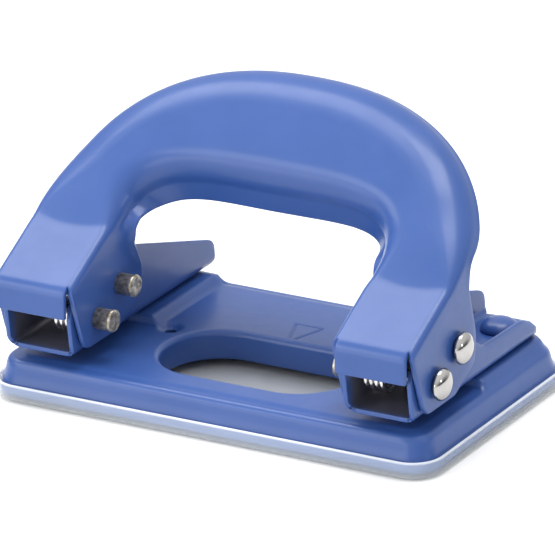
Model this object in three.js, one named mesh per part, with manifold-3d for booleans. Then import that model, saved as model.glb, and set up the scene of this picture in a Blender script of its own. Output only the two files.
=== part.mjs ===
// Two-hole paper punch: a pressed-steel handle and two U brackets on a sheet-steel base,
// with a clear plastic tray under it for the chips.
// Millimetres. +X runs along the base, +Y from the paper side to the back, +Z up.
// The origin is the middle of the tray's underside, which is what the punch stands on.
import * as THREE from 'three';
import { mergeVertices } from 'three/addons/utils/BufferGeometryUtils.js';
import Module from 'manifold-3d';

const wasm = await Module();
wasm.setup();

// ---------------------------------------------------------------- driving dimensions
const HOLE_SPACING = 80; // between the two cutters, the usual filing distance
const BRACKET_X = HOLE_SPACING / 2;
const GAP = 0.3; // left between pieces that touch

const TRAY = { halfX: 52.4, halfY: 30.7, radius: 6.6, height: 4, floor: 1, wall: 0.7 };
const BASE = { inset: 1.05, skirtBottom: 1.4, skirtTop: 7.8, top: 9, lean: 1.3, sheet: 1 };
const PAD = { x0: 28.2, x1: 50, y0: -0.7, y1: 29, top: 10.9, ramp: 1.9 };
const WINDOW = { y: -7.6, halfLength: 22, halfWidth: 11.7, wall: 1, bottom: 3 };
const EYELET = { x: 25.9, y: 0.2, holeRadius: 1.35, dimpleRadius: 3, depth: 0.9 };
const MARK = { tipY: 4.1, backY: 13.2, halfWidth: 3.3, groove: 0.5, depth: 0.3 };
const CUTTER_Y = -11.5; // 12 mm in front of the paper stop
const DIE_RADIUS = 3.1;

const BRACKET = { half: 8.05, sheet: 1, bend: 2.4, webBottom: PAD.top + GAP, y0: -28.6, y1: 28.8 };
const RIVET = { ys: [6, 22], shank: 1.6, head: 4, rise: 2.4, brim: 0.4, tail: 2.9, tailHigh: 1.4 };

const PIVOT = { y: -20.6, z: 18 };
const DRIVE = { y: -11.7, z: 22.5 };
const PIN = {
  shaft: 1.7,
  head: 3.4,
  dome: 2.1,
  collar: 2.5,
  collarHigh: 0.5,
  tail: 2.35, // the peened end, towards the middle of the punch
  tailLong: 3.9,
};
const STROKE = 4.7; // of the drive pin and the cutters, at the end of the handle's press
const DRIFT = 1.1; // how far the drive pin also moves back as it goes down

const CUTTER = { outer: 2.9, inner: 2.2, bottom: 11.6, boreDeep: 8, head: 4.5, headBottom: 18.2, top: 26 };
const SPRING = { wire: 0.55, coil: 3.3, x0: 33.4, pitch: 1.25, turns: 4, lowArm: 4.3, highArm: 12 };

const HANDLE = {
  half: 9.5, // half of one leg's width
  sheet: 1.1,
  noseY: -31,
  noseZ: 27.3,
  legAngle: THREE.MathUtils.degToRad(27),
  archAngle: THREE.MathUtils.degToRad(47.2),
  legLength: 14.1,
  bendRadius: 18.6,
  outer: {
    start: 18.2,
    crown: 60.4,
    power: 2.3,
    round: 6.5,
    drop: 6.4,
    legDepth: 11.9,
    archDepth: 7,
    lean: 0.3,
    waist: 26,
    relief: 2.8,
  },
  inner: {
    start: 13.2,
    crown: 33.6,
    power: 4.5,
    round: 4,
    drop: 5.3,
    legDepth: 13.6,
    archDepth: 9.3,
    lean: 2.3,
    waist: 24.5,
    relief: 4.4,
  },
  waistReach: 5, // how far up and down the walls are shallower around their waists
  legRound: 1.6,
  lipLow: 21.3,
  lipInset: 1.2,
};

// ---------------------------------------------------------------- materials
const finish = (settings) => () => new THREE.MeshStandardMaterial(settings);
const bluePaint = finish({ color: 0x3f5fc0, roughness: 0.3, metalness: 0.1 });
const chrome = finish({ color: 0xc9cbcc, roughness: 0.12, metalness: 1 });
const toolSteel = finish({ color: 0x8d9095, roughness: 0.35, metalness: 1 });
const springSteel = finish({ color: 0xb4b6b8, roughness: 0.25, metalness: 1 });
const clearPlastic = finish({
  color: 0xd9dee4,
  roughness: 0.25,
  metalness: 0,
  transparent: true,
  opacity: 0.5,
});

// ---------------------------------------------------------------- solids
function solid(geometry) {
  const bare = geometry.clone();
  bare.deleteAttribute('normal');
  bare.deleteAttribute('uv');
  const merged = mergeVertices(bare, 1e-4);
  return new wasm.Manifold(
    new wasm.Mesh({
      numProp: 3,
      vertProperties: new Float32Array(merged.attributes.position.array),
      triVerts: new Uint32Array(merged.index.array),
    }),
  );
}

function geometryOf(body) {
  const mesh = body.getMesh();
  const geometry = new THREE.BufferGeometry();
  geometry.setAttribute('position', new THREE.BufferAttribute(new Float32Array(mesh.vertProperties), 3));
  geometry.setIndex(new THREE.BufferAttribute(new Uint32Array(mesh.triVerts), 1));
  geometry.computeVertexNormals();
  return geometry;
}

const union = (bodies) => bodies.reduce((whole, body) => whole.add(body));

// Outline points are [a, b] pairs.
function shapeOf(points) {
  return new THREE.Shape(points.map(([a, b]) => new THREE.Vector2(a, b)));
}

function extrude(shape, depth) {
  return new THREE.ExtrudeGeometry(shape, { depth, bevelEnabled: false, steps: 1 });
}

// An outline in X and Y, from z0 to z1.
const alongZ = (points, z0, z1) => solid(extrude(shapeOf(points), z1 - z0).translate(0, 0, z0));

// An outline in Y and Z, from x0 to x1.
function alongX(points, x0, x1) {
  const turn = new THREE.Matrix4().makeBasis(
    new THREE.Vector3(0, 1, 0),
    new THREE.Vector3(0, 0, 1),
    new THREE.Vector3(1, 0, 0),
  );
  return solid(extrude(shapeOf(points), x1 - x0).applyMatrix4(turn).translate(x0, 0, 0));
}

// An outline in X and Z, from y0 to y1.
const alongY = (points, y0, y1) =>
  solid(extrude(shapeOf(points), y1 - y0).rotateX(Math.PI / 2).translate(0, y1, 0));

function box(x0, x1, y0, y1, z0, z1) {
  const block = new THREE.BoxGeometry(x1 - x0, y1 - y0, z1 - z0);
  return solid(block.translate((x0 + x1) / 2, (y0 + y1) / 2, (z0 + z1) / 2));
}

function arc(centre, radius, from, to, steps) {
  const points = [];
  for (let i = 0; i <= steps; i += 1) {
    const angle = from + ((to - from) * i) / steps;
    points.push([centre[0] + radius * Math.cos(angle), centre[1] + radius * Math.sin(angle)]);
  }
  return points;
}

function rounded(x0, x1, y0, y1, radius, steps = 6) {
  const quarter = Math.PI / 2;
  return [
    ...arc([x1 - radius, y0 + radius], radius, -quarter, 0, steps),
    ...arc([x1 - radius, y1 - radius], radius, 0, quarter, steps),
    ...arc([x0 + radius, y1 - radius], radius, quarter, 2 * quarter, steps),
    ...arc([x0 + radius, y0 + radius], radius, 2 * quarter, 3 * quarter, steps),
  ];
}

// A round solid about a vertical axis: profile points are [radius, z], from the axis back to it.
function turned(profile, segments = 18) {
  const points = profile.map(([radius, z]) => new THREE.Vector2(radius, z));
  return solid(new THREE.LatheGeometry(points, segments).rotateX(Math.PI / 2));
}

// The same profile about an axis along +X through y, z, with its own z as the x position.
function turnedAlongX(profile, y, z, segments = 16) {
  const points = profile.map(([radius, x]) => new THREE.Vector2(radius, x));
  const body = new THREE.LatheGeometry(points, segments).rotateX(Math.PI / 2).rotateY(Math.PI / 2);
  return solid(body.translate(0, y, z));
}

const rodZ = (x, y, radius, z0, z1, segments = 24) =>
  solid(
    new THREE.CylinderGeometry(radius, radius, z1 - z0, segments)
      .rotateX(Math.PI / 2)
      .translate(x, y, (z0 + z1) / 2),
  );

const rodX = (y, z, radius, x0, x1, segments = 20) =>
  solid(
    new THREE.CylinderGeometry(radius, radius, x1 - x0, segments)
      .rotateZ(Math.PI / 2)
      .translate((x0 + x1) / 2, y, z),
  );

// Closed loops of equally many 3-D points, skinned in turn and capped at both ends.
function loft(loops, closed = true) {
  const positions = loops.flat(2);
  const count = loops[0].length;
  const index = [];
  for (let i = 0; i + 1 < loops.length; i += 1) {
    for (let j = 0; j < count; j += 1) {
      const a = i * count + j;
      const b = i * count + ((j + 1) % count);
      index.push(a, b, b + count, a, b + count, a + count);
    }
  }
  if (closed) {
    const last = (loops.length - 1) * count;
    for (let j = 1; j + 1 < count; j += 1) {
      index.push(0, j + 1, j);
      index.push(last, last + j, last + j + 1);
    }
  }
  const geometry = new THREE.BufferGeometry();
  geometry.setAttribute('position', new THREE.Float32BufferAttribute(positions, 3));
  geometry.setIndex(index);
  return geometry;
}

const raised = (outline, z) => outline.map(([x, y]) => [x, y, z]);

// The right-hand copy of a pair, flipped across X = 0 for the left.
function mirrored(geometry) {
  const copy = geometry.clone();
  const position = copy.attributes.position;
  for (let i = 0; i < position.count; i += 1) position.setX(i, -position.getX(i));
  const index = copy.index.array;
  for (let i = 0; i < index.length; i += 3) {
    const keep = index[i];
    index[i] = index[i + 1];
    index[i + 1] = keep;
  }
  copy.computeVertexNormals();
  return copy;
}

// ---------------------------------------------------------------- base and tray
function trayLoop(inset, z) {
  const { halfX, halfY, radius } = TRAY;
  const outline = rounded(-halfX + inset, halfX - inset, -halfY + inset, halfY - inset, radius - inset, 6);
  return raised(outline, z);
}

function chipTray() {
  const { floor, wall, height } = TRAY;
  const edge = 0.8; // of the rounding under the tray
  const fillet = 0.4;
  const outside = solid(loft([trayLoop(edge, 0), trayLoop(0.1, edge), trayLoop(0, height)]));
  const inside = solid(
    loft([
      trayLoop(wall + fillet, floor),
      trayLoop(wall, floor + fillet),
      trayLoop(wall, height + 1),
    ]),
  );
  return outside.subtract(inside);
}

function baseShell(inset, drop) {
  const { skirtBottom, skirtTop, top, lean } = BASE;
  const low = skirtBottom - (drop > 0 ? 1 : 0); // the inside is cut right through the open bottom
  const first = BASE.inset + inset;
  const shoulder = first + lean;
  return solid(
    loft([
      trayLoop(first, low),
      trayLoop(first, TRAY.height),
      trayLoop(shoulder, skirtTop - drop),
      trayLoop(shoulder + 0.35, skirtTop + 0.8 - drop),
      trayLoop(shoulder + 1.2, top - drop),
    ]),
  );
}

function padShell(inset, drop) {
  const { x0, x1, y0, y1, top, ramp } = PAD;
  const low = 6; // inside the plate's own shell
  const frontStep = 0.5; // the pad's front is much steeper than its sides
  const corner = 3;
  const loop = (grow, z) => {
    const front = y0 + Math.min(grow, frontStep) + inset;
    return raised(rounded(x0 + grow, x1 - grow, front, y1 - grow / 2, corner, 4), z);
  };
  return solid(loft([loop(inset, low), loop(inset, BASE.top - drop), loop(inset + ramp, top - drop)]));
}

function stadium(grow) {
  const radius = WINDOW.halfWidth + grow;
  const half = WINDOW.halfLength - WINDOW.halfWidth;
  const quarter = Math.PI / 2;
  return [
    ...arc([half, WINDOW.y], radius, -quarter, quarter, 10),
    ...arc([-half, WINDOW.y], radius, quarter, 3 * quarter, 10),
  ];
}

function markGroove() {
  const { tipY, backY, halfWidth, groove, depth } = MARK;
  const outer = [[0, tipY], [halfWidth, backY], [-halfWidth, backY]];
  const innerHalf = halfWidth - 1.4 * groove;
  const inner = [[0, tipY + 3 * groove], [innerHalf, backY - groove], [-innerHalf, backY - groove]];
  const low = BASE.top - depth;
  return alongZ(outer, low, BASE.top + 1).subtract(alongZ(inner, low - 1, BASE.top + 2));
}

function basePlate() {
  const { sheet, top } = BASE;
  const pads = (inset, drop) => {
    const pad = geometryOf(padShell(inset, drop));
    return solid(pad).add(solid(mirrored(pad)));
  };
  const outside = baseShell(0, 0).add(pads(0, 0));
  const inside = baseShell(sheet, sheet).add(pads(sheet, sheet));
  const through = [5, 12]; // heights that pass right through the plate and its pads
  let plate = outside.subtract(inside);
  plate = plate.add(alongZ(stadium(WINDOW.wall), WINDOW.bottom, top));
  plate = plate.subtract(alongZ(stadium(0), 0, top + 1));
  for (const side of [-1, 1]) {
    const { x, y, holeRadius, dimpleRadius, depth } = EYELET;
    const brim = top + 0.01;
    const bowl = [[0, top - depth], [holeRadius, top - depth], [dimpleRadius, brim], [0, brim]];
    plate = plate.subtract(turned(bowl, 16).translate([side * x, y, 0]));
    plate = plate.subtract(rodZ(side * x, y, holeRadius, ...through, 16));
    plate = plate.subtract(rodZ(side * BRACKET_X, CUTTER_Y, DIE_RADIUS, ...through));
    for (const rivetY of RIVET.ys) {
      plate = plate.subtract(rodZ(side * BRACKET_X, rivetY, RIVET.shank + GAP, ...through, 16));
    }
  }
  return plate.subtract(markGroove());
}

// ---------------------------------------------------------------- brackets
// The right bracket, centred on x = BRACKET_X, with its tall flange on the side of the window.
// Both flanges have the same front, up to the handle's nose.
function flangeFront() {
  return [
    [BRACKET.y0 + 1.6, 10],
    [BRACKET.y0 + 0.5, 14],
    [BRACKET.y0, 20],
    [-27.6, 22.4],
    [-25, 24.6],
    [-12, 28],
  ];
}

function tallFlange() {
  return [
    ...flangeFront(),
    ...arc([-7.4, 26.2], 2.6, 1.9, 1.26, 3),
    ...arc([25.1, 14.5], 3.6, 1.26, 0.05, 5),
    [BRACKET.y1, 12.4],
    [BRACKET.y1, 10],
  ];
}

function lowFlange() {
  return [
    ...flangeFront(),
    ...arc([-8.6, 25.2], 2.6, 1.6, 0.5, 4),
    [-3, 20.4],
    [-0.9, 18.4],
    [1.6, 17.4],
    ...arc([17.6, 13.2], 3.7, 1.56, 0.6, 4),
    [22.6, 13.8],
    [23.3, 11.6],
    [23.3, 10],
  ];
}

// The web's rear corner is cut away behind the low flange.
const tailCorner = [[3.4, 30], [9, 30], [9, 23.6], [8, 24.4], [6.2, 26.6], [3.4, 29]];

function channelSection(half, bottom, bend, top) {
  const quarter = Math.PI / 2;
  return [
    [-half, top],
    ...arc([-half + bend, bottom + bend], bend, 2 * quarter, 3 * quarter, 5),
    ...arc([half - bend, bottom + bend], bend, 3 * quarter, 4 * quarter, 5),
    [half, top],
  ];
}

function bracket() {
  const { half, sheet, bend, webBottom, y0, y1 } = BRACKET;
  const top = 32;
  const outer = channelSection(half, webBottom, bend, top);
  const inner = channelSection(half - sheet, webBottom + sheet, bend - sheet, top + 1);
  let channel = alongY(outer, y0, y1).subtract(alongY(inner, y0 - 1, y1 + 1));
  const keep = alongX(tallFlange(), -half - 1, half - bend).add(alongX(lowFlange(), -1, half + 1));
  channel = channel.intersect(keep);
  const throughWeb = [8, 15];
  const throughFlanges = [-12, 12];
  channel = channel.subtract(alongZ(tailCorner, ...throughWeb));
  channel = channel.subtract(rodZ(0, CUTTER_Y, CUTTER.outer + 0.2, ...throughWeb));
  for (const y of RIVET.ys) {
    channel = channel.subtract(rodZ(0, y, RIVET.shank + GAP, ...throughWeb, 16));
  }
  channel = channel.subtract(rodX(PIVOT.y, PIVOT.z, PIN.shaft + GAP, ...throughFlanges));
  const slotRadius = PIN.shaft + DRIFT / 2 + 0.4;
  const slotY = DRIVE.y + DRIFT / 2;
  const slot = [
    ...arc([slotY, DRIVE.z], slotRadius, 0, Math.PI, 8),
    ...arc([slotY, DRIVE.z - STROKE], slotRadius, Math.PI, 2 * Math.PI, 8),
  ];
  channel = channel.subtract(alongX(slot, ...throughFlanges));
  return channel.translate([BRACKET_X, 0, 0]);
}

function rivet(y) {
  const { shank, head, rise, brim, tail, tailHigh } = RIVET;
  const seat = BRACKET.webBottom + BRACKET.sheet + GAP;
  const under = PAD.top - BASE.sheet - GAP;
  const edge = seat + brim;
  const dome = arc([0, 0], 1, 0, Math.PI / 2, 4).map(([a, b]) => [head * a, edge + (rise - brim) * b]);
  const body = turned(
    [
      [0, under - tailHigh],
      [tail * 0.7, under - tailHigh],
      [tail, under - tailHigh / 2],
      [tail, under],
      [shank, under],
      [shank, seat],
      [head, seat],
      ...dome.slice(0, -1),
      [0, seat + rise],
    ],
    16,
  );
  return body.translate([BRACKET_X, y, 0]);
}

// ---------------------------------------------------------------- handle
const smooth = (t) => t * t * (3 - 2 * t);
const clamp = (value) => THREE.MathUtils.clamp(value, 0, 1);

// The handle's face is a bent sheet: q runs up it from the nose. Gives [y, z, slope].
function onFace(q) {
  const { noseY, noseZ, legAngle, archAngle, legLength, bendRadius } = HANDLE;
  const bendLength = bendRadius * (archAngle - legAngle);
  const slope = legAngle + (archAngle - legAngle) * clamp((q - legLength) / bendLength);
  const flat = Math.min(q, legLength);
  const beyond = Math.max(q - legLength - bendLength, 0);
  const bendY = bendRadius * (Math.sin(slope) - Math.sin(legAngle));
  const bendZ = bendRadius * (Math.cos(legAngle) - Math.cos(slope));
  const y = noseY + flat * Math.cos(legAngle) + bendY + beyond * Math.cos(archAngle);
  const z = noseZ + flat * Math.sin(legAngle) + bendZ + beyond * Math.sin(archAngle);
  return [y, z, slope];
}

// One side of the arch's outline on the face, from the nose, s = 0, to the crown, s = 1.
function edgeAt(s, x, { start, crown, power }) {
  const straight = 0.25; // of s, along the leg
  if (s < straight) return [x, (start * s) / straight];
  const angle = ((s - straight) / (1 - straight)) * (Math.PI / 2);
  return [x * Math.cos(angle) ** (2 / power), start + (crown - start) * Math.sin(angle) ** (2 / power)];
}

// The pressed channel's section at s: the outer skin up one wall, across and down the other,
// and back along the inside of the sheet.
function handleSection(s) {
  const { half, sheet, legLength, legRound, outer, inner, waistReach } = HANDLE;
  const outside = edgeAt(s, BRACKET_X + half, outer);
  const inside = edgeAt(s, BRACKET_X - half, inner);
  const middle = [(outside[0] + inside[0]) / 2, (outside[1] + inside[1]) / 2];
  const across = [(outside[0] - inside[0]) / 2, (outside[1] - inside[1]) / 2];
  const width = Math.hypot(...across);
  const turnIn = 14; // the length over which a leg's section becomes the arch's
  const blend = smooth(clamp((middle[1] - legLength + 2) / turnIn));
  const mix = (leg, arch, t) => leg + (arch - leg) * t;
  const flare = smooth(clamp(2 * blend - 1)); // the walls lean out only above the legs
  const rounding = smooth(clamp((middle[1] - 16) / 18)); // and their folds widen more slowly
  const turn = [0, 1, 2, 3].map((i) => (i * Math.PI) / 6);
  const wall = (side, q, offset) => {
    const shallow = side.relief * Math.exp(-(((q - side.waist) / waistReach) ** 2));
    const depth = mix(side.legDepth, side.archDepth, blend) - shallow;
    const round = mix(legRound, side.round, rounding) - offset;
    const drop = Math.min(mix(legRound, side.drop, rounding), depth - 0.8) - offset;
    const edge = width - offset;
    return [
      [edge + side.lean * flare, -depth],
      ...turn.map((a) => [edge - round * (1 - Math.cos(a)), -offset - drop * (1 - Math.sin(a))]),
    ];
  };
  const skin = (offset) => [
    ...wall(inner, inside[1], offset).map(([side, depth]) => [-side, depth]),
    ...wall(outer, outside[1], offset).reverse(),
  ];
  return [...skin(0), ...skin(sheet).reverse()].map(([side, depth]) => {
    const x = middle[0] + (across[0] * side) / width;
    const q = middle[1] + (across[1] * side) / width;
    const [y, z, slope] = onFace(q);
    return [x, y - depth * Math.sin(slope), z + depth * Math.cos(slope)];
  });
}

// Skins the sections and closes each end with a strip between the outer and inner skins.
function handleChannel() {
  const steps = 22;
  const right = [];
  for (let i = 0; i <= steps; i += 1) right.push(handleSection(i / steps));
  const left = right.slice(0, -1).reverse().map((loop) => loop.map(([x, y, z]) => [-x, y, z]));
  const loops = [...right, ...left];
  const geometry = loft(loops, false);
  const index = Array.from(geometry.index.array);
  const count = loops[0].length;
  const last = (loops.length - 1) * count;
  for (let j = 0; j + 1 < count / 2; j += 1) {
    const a = j;
    const b = j + 1;
    const c = count - 2 - j;
    const d = count - 1 - j;
    index.push(a, c, b, a, d, c);
    index.push(last + a, last + b, last + c, last + a, last + c, last + d);
  }
  geometry.setIndex(index);
  return solid(geometry);
}

// One leg's side: the pins' holes are in it, and its lower edge lies level when the handle is pressed.
// Its rear edge runs up to the waist of the wall above it.
function flangeOutline(waist) {
  const { noseY, noseZ } = HANDLE;
  const low = 12.9;
  return [
    [noseY + 0.6, noseZ - 0.6],
    [-27.3, 17.5],
    ...arc([-22.9, low + 3.2], 3.2, 3.4, 4.6, 4),
    [-13.5, low],
    [-6.5, 16.5],
    ...arc([-6.4, 18.9], 2.3, 5.2, 6.4, 3),
    [-4.3, 22.8],
    ...waist,
    [-14, 34.8],
  ];
}

function lip() {
  const { noseY, noseZ, legAngle, sheet, lipLow } = HANDLE;
  const bend = 2.2;
  const back = 3;
  const centre = [noseY + bend + 0.1, noseZ + back * Math.tan(legAngle) - bend / Math.cos(legAngle) - 0.4];
  const outside = arc(centre, bend, Math.PI / 2 + legAngle, Math.PI + 0.05, 6);
  const inside = arc(centre, bend - sheet, Math.PI + 0.05, Math.PI / 2 + legAngle, 6);
  const along = [Math.cos(legAngle) * back * 2, Math.sin(legAngle) * back * 2];
  const top = outside[0];
  const under = inside.at(-1);
  return [
    [top[0] + along[0], top[1] + along[1]],
    ...outside,
    [noseY - 0.2, lipLow],
    [noseY - 0.2 + sheet, lipLow],
    ...inside,
    [under[0] + along[0], under[1] + along[1]],
  ];
}

function handle() {
  const { half, sheet, lipInset, noseY } = HANDLE;
  // The channel's walls are trimmed to the flanges' sloping front edge.
  const front = noseY + 1.6;
  const ahead = [[-40, 40], [-40, 10], [-26.5, 10], [-27.3, 17.5], [front, 26], [front, 40]];
  let body = handleChannel().subtract(alongX(ahead, -60, 60));
  const leg = geometryOf(
    union([
      alongX(flangeOutline([[-6, 31.7], [-6.6, 34], [-9, 36.8]]), BRACKET_X + half - sheet, BRACKET_X + half),
      alongX(flangeOutline([[-8.2, 31.2], [-9.2, 33.4]]), BRACKET_X - half, BRACKET_X - half + sheet),
      alongX(lip(), BRACKET_X - half + lipInset, BRACKET_X + half - lipInset),
    ]),
  );
  body = body.add(solid(leg)).add(solid(mirrored(leg)));
  for (const place of [PIVOT, DRIVE]) {
    body = body.subtract(rodX(place.y, place.z, PIN.shaft + GAP, 25, 55));
    body = body.subtract(rodX(place.y, place.z, PIN.shaft + GAP, -55, -25));
  }
  return body;
}

// ---------------------------------------------------------------- pins, cutters, springs
function pin(place) {
  const { shaft, head, dome, collar, collarHigh, tail, tailLong } = PIN;
  const outside = BRACKET_X + HANDLE.half + GAP;
  const inside = BRACKET_X - HANDLE.half - GAP;
  const seat = outside + collarHigh;
  const cap = arc([0, 0], 1, 0, Math.PI / 2, 5).map(([a, b]) => [head * a, seat + dome * b]);
  const profile = [
    [0, inside - tailLong],
    [tail - 0.4, inside - tailLong],
    [tail, inside - tailLong + 0.4],
    [tail, inside],
    [shaft, inside],
    [shaft, outside],
    [collar, outside],
    [collar, seat],
    ...cap.slice(0, -1),
    [0, seat + dome],
  ];
  return turnedAlongX(profile, place.y, place.z);
}

function cutter() {
  const { outer, inner, bottom, boreDeep, head, headBottom, top } = CUTTER;
  const body = turned([
    [0, bottom + boreDeep],
    [inner, bottom + boreDeep],
    [inner, bottom],
    [outer, bottom],
    [outer, headBottom],
    [head, headBottom + 1],
    [head, top - 0.6],
    [head - 0.6, top],
    [0, top],
  ]);
  const slotY = DRIVE.y + DRIFT / 2 - CUTTER_Y;
  const halfSlot = PIN.shaft + DRIFT / 2 + GAP;
  const slotLow = DRIVE.z - PIN.shaft - GAP;
  const slotHigh = DRIVE.z + PIN.shaft + GAP;
  const slot = box(-6, 6, slotY - halfSlot, slotY + halfSlot, slotLow, slotHigh);
  return body.subtract(slot).translate([BRACKET_X, CUTTER_Y, 0]);
}

// A coil round the pivot pin, with one straight arm down to the bracket's web and one up to the handle.
class CoilPath extends THREE.Curve {
  getPoint(t, target = new THREE.Vector3()) {
    const { wire, coil, x0, pitch, turns, lowArm, highArm } = SPRING;
    const lead = 0.08; // of t, along each straight arm
    const wound = clamp((t - lead) / (1 - 2 * lead));
    const angle = wound * turns * 2 * Math.PI;
    const x = x0 + wire + wound * pitch * turns;
    const y = PIVOT.y + coil * Math.cos(angle);
    const z = PIVOT.z + coil * Math.sin(angle);
    const down = (Math.max(lead - t, 0) / lead) * lowArm;
    const up = (Math.max(t - 1 + lead, 0) / lead) * highArm;
    return target.set(x, y, z + up - down);
  }
}

function returnSpring() {
  const section = shapeOf(arc([0, 0], SPRING.wire, 0, 2 * Math.PI, 6).slice(0, -1));
  const settings = { steps: 62, bevelEnabled: false, extrudePath: new CoilPath() };
  return solid(new THREE.ExtrudeGeometry(section, settings));
}

// ---------------------------------------------------------------- the assembly
const punch = new THREE.Group();

function place(name, geometry, material) {
  const mesh = new THREE.Mesh(geometry, material);
  mesh.name = name;
  punch.add(mesh);
}

function placePair(name, body, material) {
  const geometry = geometryOf(body);
  place(`${name}_right`, geometry, material());
  place(`${name}_left`, mirrored(geometry), material());
}

place('chip_tray', geometryOf(chipTray()), clearPlastic());
place('base_plate', geometryOf(basePlate()), bluePaint());
placePair('bracket', bracket(), bluePaint);
placePair('front_rivet', rivet(RIVET.ys[0]), bluePaint);
placePair('rear_rivet', rivet(RIVET.ys[1]), bluePaint);
place('handle', geometryOf(handle()), bluePaint());
placePair('pivot_pin', pin(PIVOT), chrome);
placePair('drive_pin', pin(DRIVE), chrome);
placePair('cutter', cutter(), toolSteel);
placePair('return_spring', returnSpring(), springSteel);

export default punch;
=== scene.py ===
import math
from contextlib import contextmanager

import bmesh
import bpy
from mathutils import Matrix, Vector, geometry


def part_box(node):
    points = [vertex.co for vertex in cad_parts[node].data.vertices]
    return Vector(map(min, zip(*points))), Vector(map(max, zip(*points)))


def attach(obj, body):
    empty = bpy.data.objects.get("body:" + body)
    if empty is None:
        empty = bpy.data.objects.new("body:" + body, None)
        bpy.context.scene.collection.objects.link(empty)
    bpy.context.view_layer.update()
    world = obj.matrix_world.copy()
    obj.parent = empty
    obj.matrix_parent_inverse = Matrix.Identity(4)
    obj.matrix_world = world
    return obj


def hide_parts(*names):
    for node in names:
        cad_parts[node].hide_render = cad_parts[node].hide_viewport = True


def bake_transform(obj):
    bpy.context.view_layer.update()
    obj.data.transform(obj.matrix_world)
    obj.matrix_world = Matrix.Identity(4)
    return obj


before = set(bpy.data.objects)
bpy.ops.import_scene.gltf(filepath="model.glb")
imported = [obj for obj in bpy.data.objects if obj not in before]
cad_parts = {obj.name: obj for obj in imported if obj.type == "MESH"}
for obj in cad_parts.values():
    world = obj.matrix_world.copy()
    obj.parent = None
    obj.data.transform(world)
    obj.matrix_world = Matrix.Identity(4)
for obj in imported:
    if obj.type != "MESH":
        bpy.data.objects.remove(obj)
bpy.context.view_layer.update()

# The looks of a two-hole paper punch: glossy blue pressed steel, chrome pins and a milky clear tray.
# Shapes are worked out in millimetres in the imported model's frame: +X along the base, +Y back and +Z up.
MM = 0.001


def corner_mm(node):
    low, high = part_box(node)
    return [v / MM for v in low], [v / MM for v in high]


def middle_mm(node):
    low, high = corner_mm(node)
    return [(a + b) / 2 for a, b in zip(low, high)]


# ------------------------------------------------------------------ driving dimensions, from the frame
TRAY_HIGH = corner_mm("chip_tray")[1]
BRACKET_LOW, BRACKET_HIGH = corner_mm("bracket_right")
PIVOT = middle_mm("pivot_pin_right")
DRIVE = middle_mm("drive_pin_right")
CUTTER = middle_mm("cutter_right")
LEG_X = CUTTER[0]
HALF_X = TRAY_HIGH[0]
HALF_Y = TRAY_HIGH[1]
TRAY_TOP = TRAY_HIGH[2]

# ------------------------------------------------------------------ the object's own sizes
TRAY_RADIUS = 6.6
LAND_RADIUS = 8.2
SHEET = 1.0
LAND_Z = 9.0
PAD_Z = 10.9
PAD_X = (28.2, 50.0)
PAD_Y = (-0.7, 29.0)
WINDOW_Y = -7.6
WINDOW_HALF = (22.0, 11.7)
EYELET = (25.9, 0.2, 1.35, 3.0)
DIE_RADIUS = 3.1
MARK = [(0.0, 4.1), (3.3, 13.2), (-3.3, 13.2)]

HANDLE_SHEET = 1.1
LEG_HALF = 9.5
LEG_ANGLE = math.radians(27)
ARCH_ANGLE = math.radians(47.2)
NOSE = (-31.0, 27.3)
LEG_LENGTH = 16.4
BEND_RADIUS = 6.0
CROWN = 0.7
BOW = math.radians(8)
BOWED_LENGTH = 42
BOW_RADIUS = BOWED_LENGTH / BOW
# The arch's two edges. start and crown are where an edge leaves the leg and where it peaks, as distances
# up the face, and power is how square its curve is. round and drop are the size of its rounded corner. leg
# and arch are the wall's depths, and lean is how far the wall spreads. waist and relief are the place and
# the depth of the hollow in the wall's lower edge. Below top the wall belongs to the leg's flange.
OUTER = {
    "start": 18.2,
    "crown": 60.4,
    "power": 2.3,
    "round": 9.0,
    "drop": 6.2,
    "leg": 11.9,
    "arch": 7.0,
    "lean": 0.3,
    "waist": 26.0,
    "relief": 2.8,
    "top": 21.5,
}
INNER = {
    "start": 13.2,
    "crown": 34.4,
    "power": 4.5,
    "round": 6.0,
    "drop": 5.2,
    "leg": 13.6,
    "arch": 9.3,
    "lean": 2.3,
    "waist": 24.5,
    "relief": 4.4,
    "top": 20.0,
}
WAIST_REACH = 5.0


# ------------------------------------------------------------------ small helpers
MERGE_GAP = 0.01
JOIN_GAP = 0.02
RIM_STEPS = 6
RIM_SQUARENESS = 0.6
SHELL_LIMIT = 1.25


def smooth(t):
    t = min(max(t, 0.0), 1.0)
    return t * t * (3 - 2 * t)


def mix(a, b, t):
    return a + (b - a) * t


def arc(cx, cy, radius, start, end, steps):
    angles = [mix(start, end, i / steps) for i in range(steps + 1)]
    return [(cx + radius * math.cos(a), cy + radius * math.sin(a)) for a in angles]


def new_mesh(name, points, faces):
    """A mesh object from points in millimetres."""
    mesh = bpy.data.meshes.new(name)
    mesh.from_pydata([tuple(v * MM for v in p) for p in points], [], faces)
    mesh.validate()
    obj = bpy.data.objects.new(name, mesh)
    bpy.context.scene.collection.objects.link(obj)
    return obj


@contextmanager
def editing(obj):
    """Opens an object's mesh for editing and writes it back."""
    work = bmesh.new()
    work.from_mesh(obj.data)
    yield work
    work.to_mesh(obj.data)
    work.free()


def smooth_faces(work):
    """Makes all the faces agree on their outside and shades them smooth."""
    bmesh.ops.recalc_face_normals(work, faces=work.faces)
    for face in work.faces:
        face.smooth = True


def tidy_mesh(obj):
    """Joins coincident points and makes the faces agree."""
    with editing(obj) as work:
        bmesh.ops.remove_doubles(work, verts=work.verts, dist=MERGE_GAP * MM)
        bmesh.ops.dissolve_degenerate(work, edges=work.edges, dist=1e-7)
        smooth_faces(work)


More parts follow.
